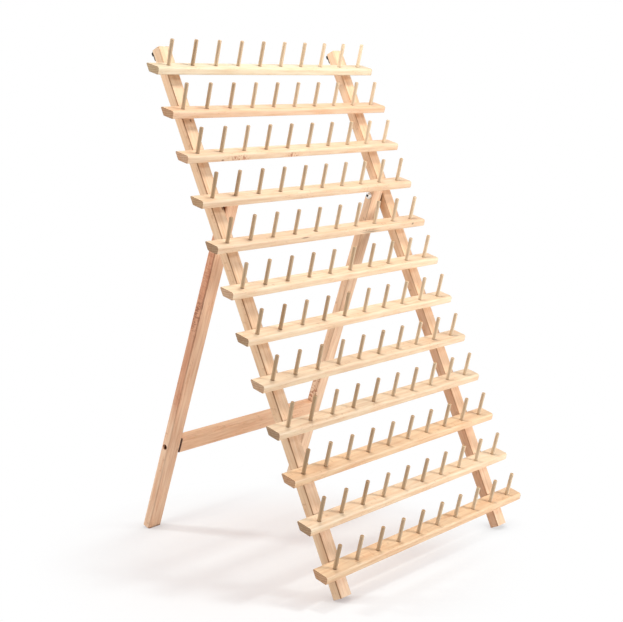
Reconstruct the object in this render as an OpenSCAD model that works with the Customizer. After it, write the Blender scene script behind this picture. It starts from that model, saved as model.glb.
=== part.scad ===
// Folding wooden rack for spools of sewing thread.
// Two uprights lean back and carry twelve sloping shelves, each with a row of round pegs.
// A pair of back legs joined by a stretcher turns on two screws and folds flat behind the shelves.

/* [Shelves] */
// Distance between neighbouring shelves, measured along the uprights
shelf_pitch = 56; // [50:0.5:70]
// Length of each shelf
shelf_length = 396; // [380:1:440]
// Depth of each shelf over its top face
shelf_depth = 23.5; // [22:0.5:32]
// Thickness of each shelf
shelf_thickness = 9.2; // [8:0.1:12]
// Angle between the top face of a shelf and a plane square to the uprights
shelf_tilt = 39.5; // [32:0.5:44]
// Radius of the upper front edge of a shelf
shelf_nose_radius = 3; // [1:0.1:4]
// Radius of the other long edges of a shelf
shelf_edge_radius = 1.2; // [0.5:0.1:1.8]

/* [Pegs] */
// Distance between neighbouring pegs along a shelf
peg_spacing = 39; // [36:0.5:41]
// Diameter of a peg
peg_diameter = 4.8; // [4.4:0.1:6]
// Length of a peg above the shelf
peg_length = 31.5; // [24:0.5:38]
// Diameter of the tenon at the foot of a peg
peg_tenon_diameter = 3.9; // [3:0.1:3.9]
// Length of the tenon in its socket
peg_seat = 6.5; // [4:0.1:7]
// Distance from the back edge of the shelf to the row of pegs
peg_setback = 14.4; // [12:0.1:17]
// Bevel round the tip of a peg
peg_bevel = 0.6; // [0.2:0.1:1.2]
// Radial play for glue round the tenon of a peg
peg_play = 0.04; // [0.02:0.01:0.1]

/* [Uprights] */
// Width of an upright, seen from the front
upright_width = 19.6; // [18:0.1:26]
// Depth of an upright, from its front face to its back face
upright_depth = 13.4; // [12:0.1:18]
// Distance between the outer faces of the two uprights
frame_width = 340; // [310:1:360]
// Height of the lowest shelf's back edge above the foot, along the upright
foot_height = 44; // [34:0.5:60]
// Length of an upright above the highest shelf's back edge
top_margin = 21; // [18:0.5:40]
// Angle by which the uprights lean back
lean_angle = 25; // [18:0.5:30]
// Radius of the long edges of all bars
bar_radius = 2.2; // [0.5:0.1:3]

/* [Back legs] */
// Width of a leg, seen from the front
leg_width = 21.4; // [18:0.1:26]
// Depth of a leg
leg_depth = 12; // [10:0.1:14]
// Angle between a leg and the uprights when it stands open
leg_spread = 44.3; // [42:0.1:52]
// Gap between a leg and the upright beside it
leg_side_gap = 0.6; // [0.3:0.1:1.5]
// Gap between a folded leg and the backs of the shelves
leg_fold_gap = 0.3; // [0.2:0.1:1]
// Drop of the pivot below the lower back edge of its shelf, along the upright
pivot_drop = 9; // [7:0.1:12]
// Gap between the top of an open leg and the shelf it bears on
stop_gap = 0.1; // [0.05:0.05:0.3]
// Extra room for the top of a leg as it turns past the shelf
leg_swing_gap = 0.25; // [0.1:0.05:0.6]

/* [Stretcher] */
// Height of the stretcher, measured along the legs
stretcher_height = 20.5; // [16:0.5:30]
// Thickness of the stretcher
stretcher_depth = 12; // [8:0.1:14]
// Distance from the pivots to the middle of the stretcher, along the legs
stretcher_reach = 330; // [200:1:380]

/* [Pivot screws] */
// Diameter of the smooth shank a leg turns on
pivot_diameter = 5; // [4:0.1:6]
// Radial play between the shank and the leg
pivot_play = 0.05; // [0.02:0.01:0.1]
// Diameter of the thread that holds in the upright
pivot_thread_diameter = 4; // [3:0.1:5]
// Depth of the thread in the upright
pivot_thread_length = 13; // [8:0.5:15]
// Diameter of the round head
pivot_head_diameter = 8; // [7:0.1:11]
// Height of the round head
pivot_head_height = 3; // [2:0.1:4]
// Width of the cross recess in the head
pivot_recess_width = 4.3; // [3:0.1:5]
// Width of each slot of the cross recess
pivot_slot_width = 1.3; // [0.6:0.1:1.6]
// Depth of the cross recess
pivot_slot_depth = 1.5; // [0.8:0.1:1.8]
// Diameter of the washer under the head
washer_diameter = 9; // [9:0.1:14]
// Thickness of the washer under the head
washer_thickness = 0.8; // [0.5:0.1:1.5]
// Play at each face of the washer
washer_play = 0.1; // [0.05:0.05:0.3]
// Radial play between the washer and the shank
washer_bore_play = 0.1; // [0.05:0.05:0.3]

/* [Stretcher screws] */
// Diameter of the shank
screw_diameter = 3; // [2.5:0.1:4]
// Diameter of the head
screw_head_diameter = 6.8; // [5:0.1:8]
// Height of the head
screw_head_height = 2.2; // [1.5:0.1:3]
// Radial play round the head in its sunk hole
screw_head_play = 0.2; // [0.1:0.05:0.5]
// Depth of the sunk hole for the head in the leg
screw_sink = 9; // [6:0.5:12]
// Depth of the shank in the end of the stretcher
screw_bite = 22; // [15:0.5:30]
// Radial play round each screw and nail
screw_play = 0.03; // [0.02:0.01:0.1]

/* [Shelf nails] */
// Diameter of the shank
nail_diameter = 1.6; // [1.2:0.1:2]
// Diameter of the head
nail_head_diameter = 3.2; // [2.6:0.1:4]
// Thickness of the head
nail_head_height = 0.8; // [0.5:0.1:1]
// Depth of a nail in the shelf
nail_bite = 6.5; // [4:0.5:7]
// Height of a nail above the lower back edge of its shelf
nail_rise = 3.4; // [2.5:0.1:5]

/* [Hangers] */
// Width of the strap across the upright
hanger_width = 18; // [16:0.5:18]
// Radius of the two upper corners of the strap
hanger_corner = 2.5; // [1:0.1:4]
// Thickness of the strap
hanger_thickness = 1; // [0.8:0.1:1.2]
// Length of the strap along the upright
hanger_length = 12; // [11:0.5:16]
// Space behind the eye of the strap
hanger_offset = 1.6; // [1:0.1:3]
// Diameter of the eye
hanger_eye = 3.6; // [3:0.1:4]
// Distance from the upper end of the strap to the middle of the eye
hanger_eye_drop = 4; // [3.5:0.1:4.5]
// Distance from the top of the upright to the end of the strap
hanger_inset = 0.5; // [0:0.5:8]
// Distance between the two nails of a hanger
hanger_nail_spacing = 10; // [6:0.5:11]
// Depth of the hanger nails in the upright
hanger_nail_bite = 8; // [5:0.5:9]

/* [Hidden] */
$fn = 48;
shelf_count = 12;
peg_count = 10;
upper_shelf_count = 4;
cut = 1;

upright_length = foot_height + (shelf_count - 1) * shelf_pitch + top_margin;
upright_x = (frame_width - upright_width) / 2;
leg_x = upright_x - upright_width / 2 - leg_side_gap - leg_width / 2;
leg_inner_x = leg_x - leg_width / 2;
floor_lift = upright_depth * sin(lean_angle);

// Height of a shelf's upper and lower back edge along the upright; shelf 1 is the highest
function shelf_top(i) = foot_height + (shelf_count - i) * shelf_pitch;
function shelf_low(i) = shelf_top(i) - shelf_thickness / cos(shelf_tilt);
function peg_x(k) = (k - (peg_count + 1) / 2) * peg_spacing;

// Place of a point of the uprights' own frame on the floor's frame
function stand_y(y, z) = y * cos(lean_angle) + z * sin(lean_angle);
function stand_z(y, z) = z * cos(lean_angle) - y * sin(lean_angle) + floor_lift;

// The hanger nails sit halfway up the strap's tab, which is half the strap's length
hanger_tab = hanger_length / 2;
hanger_foot_z = upright_length - hanger_inset - hanger_length;
hanger_nail_z = hanger_foot_z + hanger_tab / 2;

pivot_y = leg_fold_gap + leg_depth / 2;
pivot_z = shelf_low(upper_shelf_count) - pivot_drop;
leg_lean = leg_spread - lean_angle;
leg_foot = (stand_z(pivot_y, pivot_z) - leg_depth / 2 * sin(leg_lean)) / cos(leg_lean);

// Length each rounded back edge of a shelf takes from the faces beside it
upper_edge_run = shelf_edge_radius / tan((90 - shelf_tilt) / 2);
lower_edge_run = shelf_edge_radius / tan((90 + shelf_tilt) / 2);

// The flat top of an open leg bears on the rounded lower back edge of its shelf
leg_top = (pivot_y + shelf_edge_radius) * sin(leg_spread) + (pivot_drop + lower_edge_run) * cos(leg_spread)
    - shelf_edge_radius - stop_gap;
underside_distance = pivot_drop * cos(shelf_tilt) + pivot_y * sin(shelf_tilt);
leg_swing = underside_distance - stop_gap - leg_swing_gap;

// Front and back ends of the standing rack, so that the origin is midway between them
nose_y = shelf_nose_radius * sin(shelf_tilt) - (shelf_depth - shelf_nose_radius) * cos(shelf_tilt);
nose_z = foot_height - (shelf_depth - shelf_nose_radius) * sin(shelf_tilt)
    - shelf_nose_radius * cos(shelf_tilt);
rack_front = stand_y(nose_y, nose_z) - shelf_nose_radius;
rack_back = stand_y(pivot_y, pivot_z) + leg_foot * sin(leg_lean) + leg_depth / 2 * cos(leg_lean);
rack_shift = -(rack_front + rack_back) / 2;

wood = "#e3bd93";
peg_wood = "#d6ac80";
leg_wood = "#d5a883";
steel = "#b9bcc0";
dark_steel = "#55534f";

// Uprights' own frame: z runs up the uprights from the foot, y = 0 is their front face
module standing() {
    translate([0, rack_shift, floor_lift])
        rotate([-lean_angle, 0, 0])
            children();
}

// Frame of a shelf: origin on its upper back edge, z along the pegs
module on_shelf(i) {
    standing()
        translate([0, 0, shelf_top(i)])
            rotate([shelf_tilt, 0, 0])
                children();
}

// Frame of the open legs: origin on the pivot axis, z up along the legs
module on_legs() {
    standing()
        translate([0, pivot_y, pivot_z])
            rotate([leg_spread, 0, 0])
                children();
}

module both_sides() {
    children();
    mirror([1, 0, 0])
        children();
}

// Turns a profile drawn in y and z so that it is extruded along x
module along_x(length) {
    rotate([90, 0, 90])
        linear_extrude(length, center = true)
            children();
}

module bar_profile(width, depth) {
    square([width - 2 * bar_radius, depth], center = true);
    square([width, depth - 2 * bar_radius], center = true);
    for (sx = [-1, 1], sy = [-1, 1])
        translate([sx * (width / 2 - bar_radius), sy * (depth / 2 - bar_radius)])
            circle(bar_radius);
}

// Nail and screw bodies point along +z, with the underside of the head at z = 0
module nail_body(bite, play) {
    cylinder(d = nail_diameter + 2 * play, h = bite + play);
    translate([0, 0, -nail_head_height])
        cylinder(d = nail_head_diameter + 2 * play, h = nail_head_height);
}

module upright_blank() {
    translate([upright_x, upright_depth / 2, 0])
        linear_extrude(upright_length)
            bar_profile(upright_width, upright_depth);
}

module at_shelf_nails() {
    for (i = [1 : shelf_count])
        translate([upright_x, upright_depth - nail_head_height, shelf_low(i) + nail_rise])
            rotate([90, 0, 0])
                children();
}

module at_hanger_nails() {
    for (x = [upright_x - hanger_nail_spacing / 2, upright_x + hanger_nail_spacing / 2])
        translate([x, upright_depth + hanger_thickness, hanger_nail_z])
            rotate([90, 0, 0])
                children();
}

module upright() {
    difference() {
        upright_blank();
        at_shelf_nails()
            nail_body(upright_depth + cut, screw_play);
        at_hanger_nails()
            nail_body(hanger_nail_bite + hanger_thickness, screw_play);
        translate([upright_x - upright_width / 2 - cut, pivot_y, pivot_z])
            rotate([0, 90, 0])
                cylinder(d = pivot_thread_diameter + 2 * screw_play, h = pivot_thread_length + cut);
    }
}

module left_upright() {
    color(wood)
        standing()
            mirror([1, 0, 0])
                upright();
}

module right_upright() {
    color(wood)
        standing()
            upright();
}

// Slat with a bevelled back that lies on the uprights and four rounded long edges
module shelf_profile() {
    nose_start = shelf_nose_radius - shelf_depth;
    front_start = shelf_edge_radius - shelf_depth;
    low_start = shelf_edge_radius - shelf_thickness;
    bevel = shelf_thickness * tan(shelf_tilt);
    polygon([[-upper_edge_run, 0], [nose_start, 0], [-shelf_depth, -shelf_nose_radius],
        [-shelf_depth, low_start], [front_start, -shelf_thickness],
        [-bevel - lower_edge_run, -shelf_thickness],
        [lower_edge_run * sin(shelf_tilt) - bevel, lower_edge_run * cos(shelf_tilt) - shelf_thickness],
        [-upper_edge_run * sin(shelf_tilt), -upper_edge_run * cos(shelf_tilt)]]);
    translate([nose_start, -shelf_nose_radius])
        circle(shelf_nose_radius);
    for (place = [[front_start, low_start], [-bevel - lower_edge_run, low_start],
            [-upper_edge_run, -shelf_edge_radius]])
        translate(place)
            circle(shelf_edge_radius);
}

module shelf(i) {
    color(wood)
        difference() {
            on_shelf(i)
                difference() {
                    along_x(shelf_length)
                        shelf_profile();
                    for (k = [1 : peg_count])
                        translate([peg_x(k), -peg_setback, -peg_seat])
                            cylinder(d = peg_tenon_diameter + 2 * peg_play, h = peg_seat + cut);
                }
            standing()
                both_sides()
                    translate([upright_x, cut, shelf_low(i) + nail_rise])
                        rotate([90, 0, 0])
                            cylinder(d = nail_diameter + 2 * screw_play, h = nail_bite + cut + screw_play);
        }
}

// The shoulder above the tenon rests on the top face of the shelf
module peg() {
    radius = peg_diameter / 2;
    tenon_radius = peg_tenon_diameter / 2;
    rotate_extrude()
        polygon([[0, -peg_seat], [tenon_radius, -peg_seat], [tenon_radius, 0], [radius, 0],
            [radius, peg_length - peg_bevel], [radius - peg_bevel, peg_length], [0, peg_length]]);
}

module peg_row(i) {
    color(peg_wood)
        on_shelf(i)
            for (k = [1 : peg_count])
                translate([peg_x(k), -peg_setback, 0])
                    peg();
}

module shelf_01() shelf(1);
module shelf_02() shelf(2);
module shelf_03() shelf(3);
module shelf_04() shelf(4);
module shelf_05() shelf(5);
module shelf_06() shelf(6);
module shelf_07() shelf(7);
module shelf_08() shelf(8);
module shelf_09() shelf(9);
module shelf_10() shelf(10);
module shelf_11() shelf(11);
module shelf_12() shelf(12);

module pegs_01() peg_row(1);
module pegs_02() peg_row(2);
module pegs_03() peg_row(3);
module pegs_04() peg_row(4);
module pegs_05() peg_row(5);
module pegs_06() peg_row(6);
module pegs_07() peg_row(7);
module pegs_08() peg_row(8);
module pegs_09() peg_row(9);
module pegs_10() peg_row(10);
module pegs_11() peg_row(11);
module pegs_12() peg_row(12);

// Waste at the top of a leg: the front corner is cut to the turning circle, the back corner is the stop
module leg_corner() {
    difference() {
        translate([-leg_depth, 0])
            square([leg_depth, leg_top + cut]);
        circle(leg_swing);
    }
}

module leg() {
    difference() {
        translate([leg_x, 0, -leg_foot])
            linear_extrude(leg_foot + leg_top)
                bar_profile(leg_width, leg_depth);
        translate([leg_x, 0, 0])
            along_x(leg_width + 2 * cut)
                leg_corner();
        translate([leg_inner_x - cut, 0, 0])
            rotate([0, 90, 0])
                cylinder(d = pivot_diameter + 2 * pivot_play, h = leg_width + 2 * cut);
        at_stretcher_screw() {
            translate([0, 0, -screw_sink - cut])
                cylinder(d = screw_head_diameter + 2 * screw_head_play, h = screw_sink + cut);
            cylinder(d = screw_diameter + 2 * screw_play, h = leg_width);
        }
    }
}

// The underside of the head lies at the bottom of the sunk hole, the shank points to the middle
module at_stretcher_screw() {
    translate([leg_x + leg_width / 2 - screw_sink, 0, -stretcher_reach])
        rotate([0, -90, 0])
            children();
}

module left_back_leg() {
    color(leg_wood)
        on_legs()
            mirror([1, 0, 0])
                leg();
}

module right_back_leg() {
    color(leg_wood)
        on_legs()
            leg();
}

module stretcher() {
    color(leg_wood)
        on_legs()
            difference() {
                translate([0, (stretcher_depth - leg_depth) / 2, -stretcher_reach])
                    cube([2 * leg_inner_x, stretcher_depth, stretcher_height], center = true);
                both_sides()
                    at_stretcher_screw()
                        cylinder(d = screw_diameter + 2 * screw_play, h = screw_length() + screw_play);
            }
}

function screw_length() = leg_width - screw_sink + screw_bite;

module stretcher_screws() {
    color(steel)
        on_legs()
            both_sides()
                at_stretcher_screw() {
                    cylinder(d = screw_diameter, h = screw_length());
                    translate([0, 0, -screw_head_height])
                        cylinder(d = screw_head_diameter, h = screw_head_height);
                }
}

// Round-head wood screw along +x, with the inner face of the leg at x = 0
module pivot_screw() {
    seat = washer_thickness + 2 * washer_play;
    sphere_radius = (pivot_head_diameter * pivot_head_diameter / 4 + pivot_head_height * pivot_head_height)
        / (2 * pivot_head_height);
    rotate([0, 90, 0]) {
        translate([0, 0, -seat])
            cylinder(d = pivot_diameter, h = seat + leg_width + leg_side_gap);
        translate([0, 0, leg_width])
            cylinder(d = pivot_thread_diameter, h = leg_side_gap + pivot_thread_length);
        difference() {
            translate([0, 0, -seat])
                intersection() {
                    translate([0, 0, sphere_radius - pivot_head_height])
                        sphere(sphere_radius);
                    translate([0, 0, -pivot_head_height])
                        cylinder(d = pivot_head_diameter, h = pivot_head_height);
                }
            for (turn = [0, 90])
                rotate([0, 0, turn])
                    translate([0, 0, -seat - pivot_head_height])
                        cube([pivot_recess_width, pivot_slot_width, 2 * pivot_slot_depth], center = true);
        }
    }
}

module pivot_screws() {
    color(steel)
        standing()
            both_sides()
                translate([leg_inner_x, pivot_y, pivot_z])
                    pivot_screw();
}

module pivot_washer() {
    difference() {
        cylinder(d = washer_diameter, h = washer_thickness);
        translate([0, 0, -cut])
            cylinder(d = pivot_diameter + 2 * washer_bore_play, h = washer_thickness + 2 * cut);
    }
}

module pivot_washers() {
    color(steel)
        standing()
            both_sides()
                translate([leg_inner_x - washer_play - washer_thickness, pivot_y, pivot_z])
                    rotate([0, 90, 0])
                        pivot_washer();
}

module shelf_nails() {
    color(steel)
        standing()
            both_sides()
                at_shelf_nails()
                    nail_body(upright_depth - nail_head_height + nail_bite, 0);
}

// Side view of the strap: a tab on the back of the upright and an eye that stands off it
module hanger_outline() {
    step = hanger_offset + hanger_thickness;
    polygon([[0, 0], [hanger_thickness, 0], [hanger_thickness, hanger_tab - hanger_thickness / 2],
        [step, hanger_tab + hanger_offset - hanger_thickness / 2], [step, hanger_length],
        [hanger_offset, hanger_length], [hanger_offset, hanger_tab + hanger_offset], [0, hanger_tab]]);
}

module hanger() {
    translate([upright_x, upright_depth, hanger_foot_z])
        difference() {
            intersection() {
                along_x(hanger_width + 2 * cut)
                    hanger_outline();
                rotate([-90, 0, 0])
                    linear_extrude(hanger_offset + hanger_thickness)
                        hanger_face();
            }
            translate([0, -cut, hanger_length - hanger_eye_drop])
                rotate([-90, 0, 0])
                    cylinder(d = hanger_eye, h = hanger_offset + hanger_thickness + 2 * cut);
            for (side = [-1, 1])
                translate([side * hanger_nail_spacing / 2, -cut, hanger_tab / 2])
                    rotate([-90, 0, 0])
                        cylinder(d = nail_diameter + 2 * screw_play, h = hanger_thickness + 2 * cut);
        }
}

// Back view of the strap with its round corners, drawn head down
module hanger_face() {
    half = hanger_width / 2;
    inner = half - hanger_corner;
    translate([-half, hanger_corner - hanger_length])
        square([hanger_width, hanger_length - hanger_corner]);
    translate([-inner, -hanger_length])
        square([2 * inner, hanger_length]);
    for (side = [-1, 1])
        translate([side * inner, hanger_corner - hanger_length])
            circle(hanger_corner);
}

module left_hanger() {
    color(dark_steel)
        standing()
            mirror([1, 0, 0])
                hanger();
}

module right_hanger() {
    color(dark_steel)
        standing()
            hanger();
}

module hanger_nails() {
    color(dark_steel)
        standing()
            both_sides()
                at_hanger_nails()
                    nail_body(hanger_nail_bite + hanger_thickness, 0);
}

left_upright();
right_upright();
shelf_01();
shelf_02();
shelf_03();
shelf_04();
shelf_05();
shelf_06();
shelf_07();
shelf_08();
shelf_09();
shelf_10();
shelf_11();
shelf_12();
pegs_01();
pegs_02();
pegs_03();
pegs_04();
pegs_05();
pegs_06();
pegs_07();
pegs_08();
pegs_09();
pegs_10();
pegs_11();
pegs_12();
left_back_leg();
right_back_leg();
stretcher();
pivot_screws();
pivot_washers();
stretcher_screws();
shelf_nails();
left_hanger();
right_hanger();
hanger_nails();
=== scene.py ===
"""Looks of a folding wooden rack for spools of sewing thread."""
import math

import bpy
from mathutils import Euler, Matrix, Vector


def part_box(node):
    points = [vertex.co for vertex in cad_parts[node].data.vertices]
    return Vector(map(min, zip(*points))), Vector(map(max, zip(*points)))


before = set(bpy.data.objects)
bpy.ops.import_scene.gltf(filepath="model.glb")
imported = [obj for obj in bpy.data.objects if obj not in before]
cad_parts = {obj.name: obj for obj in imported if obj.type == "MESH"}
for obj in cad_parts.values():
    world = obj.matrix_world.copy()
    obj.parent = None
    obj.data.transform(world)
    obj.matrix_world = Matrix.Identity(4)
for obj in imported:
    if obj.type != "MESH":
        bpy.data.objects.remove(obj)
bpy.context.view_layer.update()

MM = 0.001
# turns about X, in degrees, from the floor's frame to each board's own frame
SHELF_TURN, UPRIGHT_TURN, LEG_TURN = -14.5, 25.0, -19.3
PEG_SPACING = 39 * MM
# half the length of a row, from its first peg to its last
ROW_REACH = 4.5 * PEG_SPACING
# shift in metres along the grain from one board to the next, so that no two boards show the same figure
BOARD_STEP = 0.731
# sizes in mm of a board's figure, along the grain and in its other two directions, and the noise's detail:
# fibres are drawn coarser than they are so that they show, ray flecks are thin sheets and so short dashes on
# one face and flakes on the next, and curly figure runs across the grain
FIGURE = {"streak": ((45, 3, 3), 2.0), "fibre": ((18, 0.7, 0.7), 3.0), "patch": ((35, 9, 9), 1.0),
          "ray": ((5, 9, 0.9), 1.0), "curl": ((2.2, 6, 4), 1.0)}
# fibres of a peg, whose grain stands upright, drawn coarser than they are too
PEG_FIBRE = (0.9, 0.9, 20)
RING_GAP, STEEL_MOTTLE = 2.6 * MM, 1.2 * MM
# how far the start of a red side wanders along a bar
RED_SIDE_WANDER = 50 * MM
# where the painted shade along the edges of an upright fades out near its top, from the upright's middle
LINE_FADES, LINE_ENDS = 295 * MM, 312 * MM
FLECK_STRENGTH = 0.3
WOOD_IOR, WOOD_RELIEF = 1.5, 0.1 * MM
# how far from a corner painted shade gathers, on wood, on steel and on the floor
WOOD_CORNER, STEEL_CORNER, FLOOR_CORNER = 4 * MM, 2 * MM, 35 * MM
CORNER_SAMPLES = 8
WHITE = "#FFFFFF"
# EDGE_SHADE on the next line is the tint of the painted shade along the bars' edges
BLUSH, RAY_BROWN, EDGE_SHADE, DARK_RING = "#FFF2E8", "#9C6440", "#BCA695", "#EBE2D8"
# tints of the painted shade in the corners of beech, pegs and steel, and of the painted dark in the pivot
# screws' recesses, which is partly dirt
BEECH_CORNER_SHADE, PEG_CORNER_SHADE, STEEL_CORNER_SHADE, RECESS_SHADE_AND_DIRT = "#70502F", "#6A4222", "#3A3733", "#24221F"
PEG_PALE, PEG_DEEP, PEG_TIP = "#EDD6B6", "#B3916C", "#D9C3A6"


def linear(hex_colour):
    """Linear RGBA of an sRGB hex colour."""
    parts = [int(hex_colour[i:i + 2], 16) / 255 for i in (1, 3, 5)]
    return [c / 12.92 if c <= 0.04045 else ((c + 0.055) / 1.055) ** 2.4 for c in parts] + [1.0]


def per_size(sizes):
    """Scale that makes features as large as these sizes in mm."""
    return [1 / (size * MM) for size in sizes]


# A Mix node of colours has its share at socket 0, its two colours at 6 and 7 and its result at output 2.
def add(tree, kind, links=(), **settings):
    """Adds one node: settings are its properties, links fill its sockets with values or other sockets."""
    made = tree.nodes.new(kind)
    for name, value in settings.items():
        setattr(made, name, value)
    for socket, value in dict(links).items():
        if isinstance(value, bpy.types.NodeSocket):
            tree.links.new(value, made.inputs[socket])
        else:
            made.inputs[socket].default_value = value
    return made


def new_material(name):
    """An empty node material and its tree."""
    made = bpy.data.materials.new(name)
    made.use_nodes = True
    made.node_tree.nodes.clear()
    return made, made.node_tree


def board_frame(tree, node, turn, grain_up):
    """Place and normal in a board's own frame, with its middle at the origin and its grain along X."""
    low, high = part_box(node)
    turned = Euler((math.radians(turn), math.radians(90) if grain_up else 0, 0))
    shift = -(turned.to_matrix() @ ((low + high) / 2))
    where = add(tree, "ShaderNodeTexCoord")
    place = add(tree, "ShaderNodeMapping", {"Vector": where.outputs["Object"], "Rotation": turned,
                                            "Location": shift})
    facing = add(tree, "ShaderNodeMapping", {"Vector": where.outputs["Normal"], "Rotation": turned},
                 vector_type="VECTOR")
    return place.outputs[0], add(tree, "ShaderNodeSeparateXYZ", {0: facing.outputs[0]})


def growth_rings(tree, board, seed):
    """A wave with one crest for each growth ring, round a pith outside the board."""
    pith = (0, 12 * MM, (50 + 3 * (seed % 5)) * MM)
    flat = add(tree, "ShaderNodeVectorMath", {0: board, 1: (0, 1, 1)}, operation="MULTIPLY")
    out = add(tree, "ShaderNodeVectorMath", {0: flat.outputs[0], 1: pith}, operation="DISTANCE")
    phase = add(tree, "ShaderNodeMath", {0: out.outputs["Value"], 1: 2 * math.pi / RING_GAP},
                operation="MULTIPLY")
    wave = add(tree, "ShaderNodeMath", {0: phase.outputs[0]}, operation="SINE")
    return wave.outputs[0]


def board_figure(tree, board, seed):
    """The noises of a board's figure by name, each at its real size."""
    cut = add(tree, "ShaderNodeVectorMath", {0: board, 1: (seed * BOARD_STEP, 0, 0)}, operation="ADD")
    figure = {}
    for pattern, (sizes, detail) in FIGURE.items():
        scaled = add(tree, "ShaderNodeVectorMath", {0: cut.outputs[0], 1: per_size(sizes)},
                     operation="MULTIPLY")
        noise = add(tree, "ShaderNodeTexNoise", {"Vector": scaled.outputs[0], "Scale": 1.0, "Detail": detail})
        figure[pattern] = noise.outputs["Fac"]
    return figure


def long_grain(tree, wave, figure, pale, deep):
    """Colour of a board's long faces: streaks, fibres, and a faint blush in patches, where flecks gather."""
    tone = add(tree, "ShaderNodeMath", {0: wave, 1: 0.03, 2: figure["streak"]}, operation="MULTIPLY_ADD")
    tone_share = add(tree, "ShaderNodeMapRange", {"Value": tone.outputs[0], "From Min": 0.28,
                                                  "From Max": 0.76}, interpolation_type="SMOOTHSTEP")
    grain = add(tree, "ShaderNodeMix", {0: tone_share.outputs[0], 6: linear(pale), 7: linear(deep)},
                data_type="RGBA")
    fibre_share = add(tree, "ShaderNodeMapRange", {"Value": figure["fibre"], "From Min": 0.45,
                                                   "From Max": 0.8, "To Max": 0.35})
    fibred = add(tree, "ShaderNodeMix", {0: fibre_share.outputs[0], 6: grain.outputs[2], 7: linear(deep)},
                 data_type="RGBA")
    blush = add(tree, "ShaderNodeMapRange", {"Value": figure["patch"], "From Min": 0.4, "From Max": 0.7,
                                             "To Max": 0.5}, interpolation_type="SMOOTHSTEP")
    blushed = add(tree, "ShaderNodeMix", {0: blush.outputs[0], 6: fibred.outputs[2], 7: linear(BLUSH)},
                  data_type="RGBA", blend_type="MULTIPLY")
    ray = add(tree, "ShaderNodeMapRange", {"Value": figure["ray"], "From Min": 0.58, "From Max": 0.72,
                                           "To Max": FLECK_STRENGTH}, interpolation_type="SMOOTHSTEP")
    gathered = add(tree, "ShaderNodeMapRange", {"Value": figure["patch"], "From Min": 0.48,
                                                "From Max": 0.6}, interpolation_type="SMOOTHSTEP")
    ray_share = add(tree, "ShaderNodeMath", {0: ray.outputs[0], 1: gathered.outputs[0]}, operation="MULTIPLY")
    flecked = add(tree, "ShaderNodeMix", {0: ray_share.outputs[0], 6: blushed.outputs[2],
                                          7: linear(RAY_BROWN)}, data_type="RGBA")
    return flecked.outputs[2]


def redden_side(tree, colour, parts, patch, tint, start, full, inner, outer):
    """A reddening along one side of a bar, from one place along it to an end: red heartwood on the left leg.
    """
    reach = add(tree, "ShaderNodeMath", {0: patch, 1: RED_SIDE_WANDER, 2: parts.outputs[0]},
                operation="MULTIPLY_ADD")
    along = add(tree, "ShaderNodeMapRange", {"Value": reach.outputs[0], "From Min": start, "From Max": full},
                interpolation_type="SMOOTHSTEP")
    side = add(tree, "ShaderNodeMapRange", {"Value": parts.outputs[2], "From Min": inner, "From Max": outer},
               interpolation_type="SMOOTHSTEP")
    share = add(tree, "ShaderNodeMath", {0: along.outputs[0], 1: side.outputs[0]}, operation="MULTIPLY")
    reddened = add(tree, "ShaderNodeMix", {0: share.outputs[0], 6: colour, 7: linear(tint)},
                   data_type="RGBA", blend_type="MULTIPLY")
    return reddened.outputs[2]


def stain_and_painted_shade(tree, colour, board, figure, place, reach, tint, strength, curly, ragged):
    """An oval mark round one place, with a clean edge or one that the fibres make ragged."""
    rim = 1.0 + ragged / 2
    soft = 0.8 if ragged else 0.25
    apart = add(tree, "ShaderNodeVectorMath", {0: board, 1: [v * MM for v in place]}, operation="SUBTRACT")
    oval = add(tree, "ShaderNodeVectorMath", {0: apart.outputs[0], 1: per_size(reach)}, operation="MULTIPLY")
    far = add(tree, "ShaderNodeVectorMath", {0: oval.outputs[0]}, operation="LENGTH")
    uneven = add(tree, "ShaderNodeMath", {0: figure["fibre"], 1: ragged, 2: far.outputs["Value"]},
                 operation="MULTIPLY_ADD")
    inside = add(tree, "ShaderNodeMapRange", {"Value": uneven.outputs[0], "From Min": rim - soft,
                                              "From Max": rim, "To Min": strength, "To Max": 0.0},
                 interpolation_type="SMOOTHSTEP")
    flake = add(tree, "ShaderNodeMapRange", {"Value": figure["curl"], "From Min": 0.45, "From Max": 0.6,
                                             "To Min": 1.0 - curly, "To Max": 1.0},
                interpolation_type="SMOOTHSTEP")
    share = add(tree, "ShaderNodeMath", {0: inside.outputs[0], 1: flake.outputs[0]}, operation="MULTIPLY")
    marked = add(tree, "ShaderNodeMix", {0: share.outputs[0], 6: colour, 7: linear(tint)}, data_type="RGBA")
    return marked.outputs[2]


def painted_edge_shade(tree, colour, parts, sides, strength):
    """The thin dark line of painted shade along each rounded edge of a bar, on an upright up to the top
    shelf."""
    corner = add(tree, "ShaderNodeMath", {0: sides.outputs[1], 1: sides.outputs[2]}, operation="MULTIPLY")
    slant = add(tree, "ShaderNodeMath", {0: corner.outputs[0]}, operation="ABSOLUTE")
    fade = add(tree, "ShaderNodeMapRange", {"Value": parts.outputs[0], "From Min": LINE_FADES,
                                            "From Max": LINE_ENDS, "To Min": strength, "To Max": 0.0})
    line = add(tree, "ShaderNodeMapRange", {"Value": slant.outputs[0], "From Min": 0.36, "From Max": 0.46,
                                            "To Max": fade.outputs[0]}, interpolation_type="SMOOTHSTEP")
    edge_shaded = add(tree, "ShaderNodeMix", {0: line.outputs[0], 6: colour, 7: linear(EDGE_SHADE)},
                data_type="RGBA", blend_type="MULTIPLY")
    return edge_shaded.outputs[2]


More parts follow.
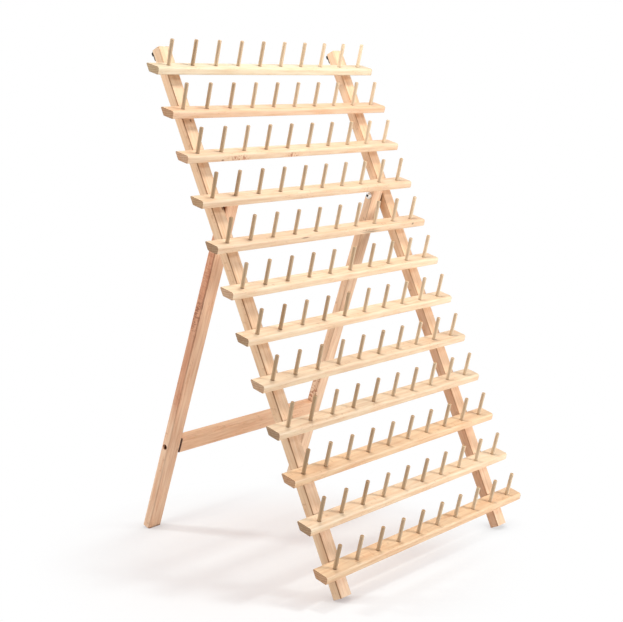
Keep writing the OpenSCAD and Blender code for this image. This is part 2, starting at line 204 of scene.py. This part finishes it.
def end_grain(tree, colour, sides, wave, end):
    """End grain, which drinks the varnish: darker, with the growth rings as arcs."""
    ring = add(tree, "ShaderNodeMapRange", {"Value": wave, "From Min": -0.4, "From Max": 1.0},
               interpolation_type="SMOOTHSTEP")
    along = add(tree, "ShaderNodeMath", {0: sides.outputs[0]}, operation="ABSOLUTE")
    ended = add(tree, "ShaderNodeMapRange", {"Value": along.outputs[0], "From Min": 0.7, "From Max": 0.95},
                interpolation_type="SMOOTHSTEP")
    dark_arc = add(tree, "ShaderNodeMix", {0: ring.outputs[0], 6: linear(WHITE), 7: linear(DARK_RING)},
                   data_type="RGBA")
    arcs = add(tree, "ShaderNodeMix", {0: ended.outputs[0], 6: colour, 7: dark_arc.outputs[2]},
               data_type="RGBA", blend_type="MULTIPLY")
    cut_end = add(tree, "ShaderNodeMix", {0: ended.outputs[0], 6: arcs.outputs[2], 7: linear(end)},
                  data_type="RGBA", blend_type="MULTIPLY")
    return cut_end.outputs[2]


def wood_surface(tree, colour, tint, fibre, gloss, strength):
    """The surface of wood, with painted shade of this tint in the corners where pieces meet, and relief from
    its fibres."""
    # painted shade: the colour darkens towards the tint where ambient occlusion finds a near corner
    room = add(tree, "ShaderNodeAmbientOcclusion", {"Distance": WOOD_CORNER}, samples=CORNER_SAMPLES)
    corner_shade = add(tree, "ShaderNodeMapRange", {"Value": room.outputs["AO"], "From Min": 0.2, "From Max": 0.85,
                                             "To Min": 1.0, "To Max": 0.0}, interpolation_type="SMOOTHSTEP")
    shaded_colour = add(tree, "ShaderNodeMix", {0: corner_shade.outputs[0], 6: colour, 7: linear(tint)}, data_type="RGBA",
               blend_type="MULTIPLY")
    relief = add(tree, "ShaderNodeBump", {"Height": fibre, "Strength": strength, "Distance": WOOD_RELIEF})
    surface = add(tree, "ShaderNodeBsdfPrincipled", {"Base Color": shaded_colour.outputs[2], "Roughness": gloss,
                                                     "IOR": WOOD_IOR, "Normal": relief.outputs[0]})
    add(tree, "ShaderNodeOutputMaterial", {"Surface": surface.outputs[0]})


# Beech, planed and sanded with a thin satin varnish: soft streaks along the grain, short brown ray flecks in
# patches, darker end grain with its growth rings, and painted shade where pieces meet.
def beech(name, node, turn, grain_up, pale, deep, seed, end="#C4AD92", edge_shade_strength=0.0, redness=None, marks=()):
    made, tree = new_material(name)
    board, sides = board_frame(tree, node, turn, grain_up)
    parts = add(tree, "ShaderNodeSeparateXYZ", {0: board})
    wave = growth_rings(tree, board, seed)
    figure = board_figure(tree, board, seed)
    colour = long_grain(tree, wave, figure, pale, deep)
    if redness:
        colour = redden_side(tree, colour, parts, figure["patch"], *redness)
    for one_mark in marks:
        colour = stain_and_painted_shade(tree, colour, board, figure, *one_mark)
    # painted shade along the bars' rounded edges
    if edge_shade_strength:
        colour = painted_edge_shade(tree, colour, parts, sides, edge_shade_strength)
    colour = end_grain(tree, colour, sides, wave, end)
    gloss = add(tree, "ShaderNodeMapRange", {"Value": figure["fibre"], "From Min": 0.3, "From Max": 0.7,
                                             "To Min": 0.44, "To Max": 0.58})
    wood_surface(tree, colour, BEECH_CORNER_SHADE, figure["fibre"], gloss.outputs[0], 0.25)
    return made


# Birch dowel, turned and sanded, bare: each peg has its own tone, with painted shade deepening it towards the
# left end of a row, and fine grain along it.
def dowel(name, node, seed):
    made, tree = new_material(name)
    row, sides = board_frame(tree, node, SHELF_TURN, False)
    parts = add(tree, "ShaderNodeSeparateXYZ", {0: row})
    # one number for each peg, and other numbers on each shelf
    place = add(tree, "ShaderNodeMath", {0: parts.outputs[0], 1: 1 / PEG_SPACING, 2: 100.0 + seed * 17},
                operation="MULTIPLY_ADD")
    number = add(tree, "ShaderNodeMath", {0: place.outputs[0]}, operation="FLOOR")
    chance = add(tree, "ShaderNodeTexWhiteNoise", {"W": number.outputs[0]}, noise_dimensions="1D")
    thin = add(tree, "ShaderNodeVectorMath", {0: row, 1: per_size(PEG_FIBRE)}, operation="MULTIPLY")
    fibre = add(tree, "ShaderNodeTexNoise", {"Vector": thin.outputs[0], "Scale": 1.0, "Detail": 2.0})
    # painted shade: the pegs' tone deepens towards the left end of the row
    painted_left_shade = add(tree, "ShaderNodeMapRange", {"Value": parts.outputs[0], "From Min": -ROW_REACH,
                                              "From Max": ROW_REACH, "To Min": 0.56, "To Max": 0.06})
    own = add(tree, "ShaderNodeMath", {0: chance.outputs["Value"], 1: 0.28, 2: painted_left_shade.outputs[0]},
              operation="MULTIPLY_ADD")
    share = add(tree, "ShaderNodeMath", {0: fibre.outputs["Fac"], 1: 0.45, 2: own.outputs[0]},
                operation="MULTIPLY_ADD")
    tone = add(tree, "ShaderNodeMapRange", {"Value": share.outputs[0], "From Min": 0.2, "From Max": 1.1})
    grain = add(tree, "ShaderNodeMix", {0: tone.outputs[0], 6: linear(PEG_PALE), 7: linear(PEG_DEEP)},
                data_type="RGBA")
    tip = add(tree, "ShaderNodeMapRange", {"Value": sides.outputs[2], "From Min": 0.6, "From Max": 0.95},
              interpolation_type="SMOOTHSTEP")
    colour = add(tree, "ShaderNodeMix", {0: tip.outputs[0], 6: grain.outputs[2], 7: linear(PEG_TIP)},
                 data_type="RGBA", blend_type="MULTIPLY")
    gloss = add(tree, "ShaderNodeMapRange", {"Value": fibre.outputs["Fac"], "To Min": 0.5, "To Max": 0.7})
    wood_surface(tree, colour.outputs[2], PEG_CORNER_SHADE, fibre.outputs["Fac"], gloss.outputs[0], 0.2)
    return made


# Steel, plated or bare: faintly mottled in colour and polish, with painted shade in its corners.
def steel(name, bright, dull, smooth, rough, recess=None):
    made, tree = new_material(name)
    where = add(tree, "ShaderNodeTexCoord")
    mottle = add(tree, "ShaderNodeTexNoise", {"Vector": where.outputs["Object"], "Scale": 1 / STEEL_MOTTLE,
                                              "Detail": 3.0})
    colour = add(tree, "ShaderNodeMix", {0: mottle.outputs["Fac"], 6: linear(bright), 7: linear(dull)},
                 data_type="RGBA")
    # painted shade: darker where ambient occlusion finds a near corner
    room = add(tree, "ShaderNodeAmbientOcclusion", {"Distance": STEEL_CORNER}, samples=CORNER_SAMPLES)
    corner_shade = add(tree, "ShaderNodeMapRange", {"Value": room.outputs["AO"], "From Min": 0.25, "From Max": 0.6,
                                             "To Min": 1.0, "To Max": 0.0}, interpolation_type="SMOOTHSTEP")
    shaded_colour = add(tree, "ShaderNodeMix", {0: corner_shade.outputs[0], 6: colour.outputs[2], 7: linear(STEEL_CORNER_SHADE)},
               data_type="RGBA")
    if recess:
        # the middle of the head painted dark: the shade inside the driver's recess, with some dirt
        axis, radius = recess
        flat = add(tree, "ShaderNodeVectorMath", {0: where.outputs["Object"], 1: (0, 1, 1)},
                   operation="MULTIPLY")
        out = add(tree, "ShaderNodeVectorMath", {0: flat.outputs[0], 1: (0, *axis)}, operation="DISTANCE")
        recess_dark = add(tree, "ShaderNodeMapRange", {"Value": out.outputs["Value"], "From Min": 0.75 * radius,
                                                  "From Max": radius, "To Min": 1.0, "To Max": 0.0},
                     interpolation_type="SMOOTHSTEP")
        shaded_colour = add(tree, "ShaderNodeMix", {0: recess_dark.outputs[0], 6: shaded_colour.outputs[2], 7: linear(RECESS_SHADE_AND_DIRT)},
                   data_type="RGBA")
    gloss = add(tree, "ShaderNodeMapRange", {"Value": mottle.outputs["Fac"], "From Min": 0.3, "From Max": 0.7,
                                             "To Min": smooth, "To Max": rough})
    surface = add(tree, "ShaderNodeBsdfPrincipled", {"Base Color": shaded_colour.outputs[2], "Metallic": 1.0,
                                                     "Roughness": gloss.outputs[0]})
    add(tree, "ShaderNodeOutputMaterial", {"Surface": surface.outputs[0]})
    return made


def finish_node(node, material):
    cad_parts[node].material_slots[0].material = material


def mark(place, reach, tint, strength, curly=0.0, ragged=1.6):
    """A mark on a board, a real blemish or a patch of painted shade: place and half sizes in mm from its
    middle, colour, strength, share of curly figure and how ragged its edge is."""
    return place, reach, tint, strength, curly, ragged


# the last colour on the next line is painted shade, for the stretcher's joint and the leg's screw hole
KNOT, GREY_STREAK, RED, BROWN, GAP_SHADE = "#7A4A2E", "#8E785E", "#A8552B", "#8A4E30", "#5A2C10"
MARKS = {"shelf_03": [mark((-141, -10.4, -3.2), (3, 2, 1.6), KNOT, 0.9),
                      mark((-112, -10.4, -1.4), (27, 4, 5), RED, 0.85, curly=1.0),
                      mark((-17, -10.4, -2.3), (13, 4, 5), RED, 0.85, curly=1.0)],
         "shelf_05": [mark((-48, -10.4, 1.5), (9, 2, 1.2), KNOT, 0.85),
                      mark((82, -10.4, -2.4), (26, 3, 1.4), GREY_STREAK, 0.85),
                      mark((76, -10.4, 0.2), (26, 3, 1.4), KNOT, 0.5, curly=0.6),
                      mark((171, -10.4, 1), (3, 3, 2), GREY_STREAK, 0.9)],
         "left_upright": [mark((244, -6.7, -2.2), (3, 2, 2.2), KNOT, 0.85),
                          # the lower mark is painted shade: the dark gap where the top of the leg meets the
                          # upright under the fourth shelf, drawn in the knot colour
                          mark((131.6, -6.7, -7), (3, 2, 2.2), KNOT, 0.9)],
         "right_back_leg": [mark((-62, -1, 10.7), (14, 12, 5), RED, 0.75, curly=1.0),
                            mark((-86, -1, 10.7), (20, 12, 5), RED, 0.8, curly=1.0)],
         # curly heart, a dark front edge, and the shade inside the sunk screw hole
         "left_back_leg": [mark((82, 0, 10.7), (36, 10, 4), BROWN, 0.8, curly=1.0),
                           mark((150, 0, 10.7), (60, 10, 4), RED, 0.4, curly=1.0),
                           mark((125, -6, 10.7), (150, 1.8, 1.8), BROWN, 0.5),
                           mark((-113, 0.3, 4.5), (5, 5, 5.4), GAP_SHADE, 1.0, ragged=0)],
         # painted shadow of an open joint at the left end of the stretcher
         "stretcher": [mark((-128.4, -6, 0), (2.6, 5, 24), GAP_SHADE, 1.0, ragged=0)]}
# the shelves come from six planks: pale wood and deep wood of each
PLANKS = {"straw": ("#E4D5B8", "#DAC29E"), "rosy": ("#E7C5A4", "#DDB18A"), "wheat": ("#EDD3B3", "#DFBA95"),
          "cream": ("#F6DFBF", "#EAC7A2"), "oat": ("#F0DABA", "#E3C19E"), "honey": ("#F1D1AA", "#E2B88F")}
# end grain by how much varnish it drank
DRY, DAMP, SOAKED = "#D6C7BF", "#C9BCAA", "#B5A89B"
SHELVES = [("straw", DAMP), ("rosy", DAMP), ("wheat", DRY), ("wheat", DAMP), ("wheat", SOAKED),
           ("cream", DRY), ("cream", SOAKED), ("oat", DRY), ("oat", SOAKED), ("honey", DRY),
           ("cream", SOAKED), ("honey", DRY)]
for i, (plank, end) in enumerate(SHELVES, 1):
    shelf = "shelf_%02d" % i
    pale, deep = PLANKS[plank]
    finish_node(shelf, beech("beech_" + shelf, shelf, SHELF_TURN, False, pale, deep, i, end=end,
                             marks=MARKS.get(shelf, ())))
    pegs = "pegs_%02d" % i
    finish_node(pegs, dowel("birch_" + pegs, pegs, i))
# pale wood, deep wood, turn and strength of the painted shade along the edges
FRAME_TONES = {"left_upright": ("#ECCCA9", "#DDB48D", UPRIGHT_TURN, 1.0),
               "right_upright": ("#F2CEAA", "#E3B68F", UPRIGHT_TURN, 0.6),
               "left_back_leg": ("#F8D3B2", "#E4B28E", LEG_TURN, 0.12),
               "right_back_leg": ("#F7D7B7", "#E2B692", LEG_TURN, 0.3)}
# a red left side on two bars, heartwood on the left leg and a faint reddening towards the foot of the right
# upright: its tint, where it starts and is full along the bar, and how far from the bar's middle it starts
# and is full
RED_SIDES = {"left_back_leg": ("#E4CCC2", -50 * MM, -5 * MM, 9.3 * MM, 10.4 * MM),
             "right_upright": ("#F3EAEA", 80 * MM, -40 * MM, 8.6 * MM, 9.6 * MM)}
# numbers that give the bars and the stretcher a figure of their own, as the shelves' numbers do
FIRST_BAR, STRETCHER_NUMBER = 20, 40
for i, (bar, (pale, deep, turn, line)) in enumerate(FRAME_TONES.items(), FIRST_BAR):
    finish_node(bar, beech("beech_" + bar, bar, turn, True, pale, deep, i, edge_shade_strength=line,
                           redness=RED_SIDES.get(bar), marks=MARKS.get(bar, ())))
finish_node("stretcher", beech("beech_stretcher", "stretcher", LEG_TURN, False, "#FDD2AD", "#EBB68D",
                               STRETCHER_NUMBER, end="#8A6F58", marks=MARKS["stretcher"]))
# bright and dull colour of the zinc, and its least and most roughness
ZINC = "#FAFAF8", "#ECECEA", 0.25, 0.4
# the pivot screws' axis, as Y and Z in the floor's frame, and the half width of their recess, where the heads
# are painted dark
PIVOT, RECESS = (26.4 * MM, 429.9 * MM), 1.9 * MM
finish_node("pivot_screws", steel("zinc_plated_screw_steel", *ZINC, (PIVOT, RECESS)))
finish_node("pivot_washers", steel("zinc_plated_steel", *ZINC))
finish_node("shelf_nails", steel("bare_wire_steel", "#B9B7B2", "#8F8C86", 0.3, 0.5))
# dark steel: the hangers are blackened, and the stretcher screws are drawn as dark to stand for the shade in
# their sunk holes
dark = steel("blackened_steel_and_hole_shade", "#6B6862", "#46433F", 0.35, 0.55)
for node in ("left_hanger", "right_hanger", "hanger_nails", "stretcher_screws"):
    finish_node(node, dark)

# Camera, fitted to the pegs, shelf ends, uprights and legs in a frame 623 pixels wide
FRAME_WIDTH, FOCAL_PIXELS, SENSOR = 623, 1283.79, 36.0
EYE_PLACE = (-1.22025, -1.06043, 0.58336)
HEADING, DIP = math.radians(48.580), math.radians(10.211)
eye = bpy.data.cameras.new("camera")
eye.sensor_width = SENSOR
eye.lens = FOCAL_PIXELS * SENSOR / FRAME_WIDTH
eye.clip_start, eye.clip_end = 0.05, 60
camera = bpy.data.objects.new("camera", eye)
camera.location = EYE_PLACE
gaze = Vector((math.sin(HEADING) * math.cos(DIP), math.cos(HEADING) * math.cos(DIP), -math.sin(DIP)))
camera.rotation_euler = gaze.to_track_quat("-Z", "Y").to_euler()
bpy.context.scene.collection.objects.link(camera)
bpy.context.scene.camera = camera


def softbox(name, place, target, size, watts):
    """A square softbox that faces the target."""
    lamp = bpy.data.lights.new(name, "AREA")
    lamp.size, lamp.energy = size, watts
    made = bpy.data.objects.new(name, lamp)
    made.location = place
    made.rotation_euler = (Vector(target) - Vector(place)).to_track_quat("-Z", "Y").to_euler()
    bpy.context.scene.collection.objects.link(made)


softbox("top_softbox", (0.0, -0.15, 1.05), (0.0, 0.05, 0.4), 0.12, 2.92)
softbox("front_softbox", (0.5, -1.0, 1.2), (0.0, 0.0, 0.3), 0.15, 5.2)
softbox("front_right_softbox", (0.8, -1.2, 0.25), (0.0, 0.0, 0.3), 0.6, 12.9)
softbox("left_back_softbox", (-0.8, 1.1, 1.1), (0.0, 0.0, 0.3), 0.25, 11.0)
softbox("left_softbox", (-1.4, 0.1, 0.9), (0.0, 0.0, 0.35), 0.6, 5.65)


def looked_at(tree):
    """1 where the camera looks, directly, in a reflection or through glass, and 0 for other light."""
    rays = add(tree, "ShaderNodeLightPath")
    seen = add(tree, "ShaderNodeMath", {0: rays.outputs["Is Camera Ray"], 1: rays.outputs["Is Glossy Ray"]},
               operation="MAXIMUM")
    through = add(tree, "ShaderNodeMath", {0: seen.outputs[0], 1: rays.outputs["Is Transmission Ray"]},
                  operation="MAXIMUM")
    return through.outputs[0]


# Studio: white to the camera and to reflections, a weaker white light on the object
FILL = 0.2
world = bpy.data.worlds.new("studio")
bpy.context.scene.world = world
world.use_nodes = True
sky = world.node_tree
sky.nodes.clear()
level = add(sky, "ShaderNodeMapRange", {"Value": looked_at(sky), "To Min": FILL, "To Max": 1.0})
studio = add(sky, "ShaderNodeBackground", {"Color": linear(WHITE), "Strength": level.outputs[0]})
add(sky, "ShaderNodeOutputWorld", {"Surface": studio.outputs[0]})

# White paper for a floor, matt: white to the camera where it is lit, with the object's soft shadow left in it
PAPER, SHADED_PAPER, PAPER_GLOW, UNDER_FEET = "#E7E7E7", "#B3BFC0", "#C1B2B0", "#ADA6A4"
SHADOW_MIDDLE, SHADOW_FULL, SHADOW_ENDS = (-0.11, -0.03, 0), 0.12, 0.32
paper, tree = new_material("white_paper")
bounce = add(tree, "ShaderNodeBsdfDiffuse", {"Color": linear(PAPER)})
shade = add(tree, "ShaderNodeBsdfDiffuse", {"Color": linear(SHADED_PAPER)})
glow = add(tree, "ShaderNodeEmission", {"Color": linear(PAPER_GLOW), "Strength": 1.0})
near = add(tree, "ShaderNodeAddShader", {0: shade.outputs[0], 1: glow.outputs[0]})
# away from the rack's own shadow, left of its middle, the paper burns out to plain white
where = add(tree, "ShaderNodeTexCoord")
away = add(tree, "ShaderNodeVectorMath", {0: where.outputs["Object"], 1: SHADOW_MIDDLE},
           operation="DISTANCE")
burnt = add(tree, "ShaderNodeMapRange", {"Value": away.outputs["Value"], "From Min": SHADOW_FULL,
                                         "From Max": SHADOW_ENDS}, interpolation_type="SMOOTHSTEP")
white = add(tree, "ShaderNodeEmission", {"Color": linear(WHITE), "Strength": 1.0})
lit = add(tree, "ShaderNodeMixShader", {0: burnt.outputs[0], 1: near.outputs[0], 2: white.outputs[0]})
# close under the feet and the lowest shelf little light gets in
gap = add(tree, "ShaderNodeAmbientOcclusion", {"Distance": FLOOR_CORNER}, samples=CORNER_SAMPLES)
touch = add(tree, "ShaderNodeMapRange", {"Value": gap.outputs["AO"], "From Min": 0.3, "From Max": 1.0,
                                         "To Min": 0.5, "To Max": 0.0}, interpolation_type="SMOOTHSTEP")
under = add(tree, "ShaderNodeEmission", {"Color": linear(UNDER_FEET), "Strength": 1.0})
shown = add(tree, "ShaderNodeMixShader", {0: touch.outputs[0], 1: lit.outputs[0], 2: under.outputs[0]})
mixed = add(tree, "ShaderNodeMixShader", {0: looked_at(tree), 1: bounce.outputs[0], 2: shown.outputs[0]})
add(tree, "ShaderNodeOutputMaterial", {"Surface": mixed.outputs[0]})
bpy.ops.object.select_all(action="DESELECT")
bpy.ops.mesh.primitive_plane_add(size=40.0, location=(0, 0, 0))
floor = bpy.context.active_object
floor.name = "floor"
floor.data.materials.append(paper)

bpy.context.scene.view_settings.view_transform = "Standard"
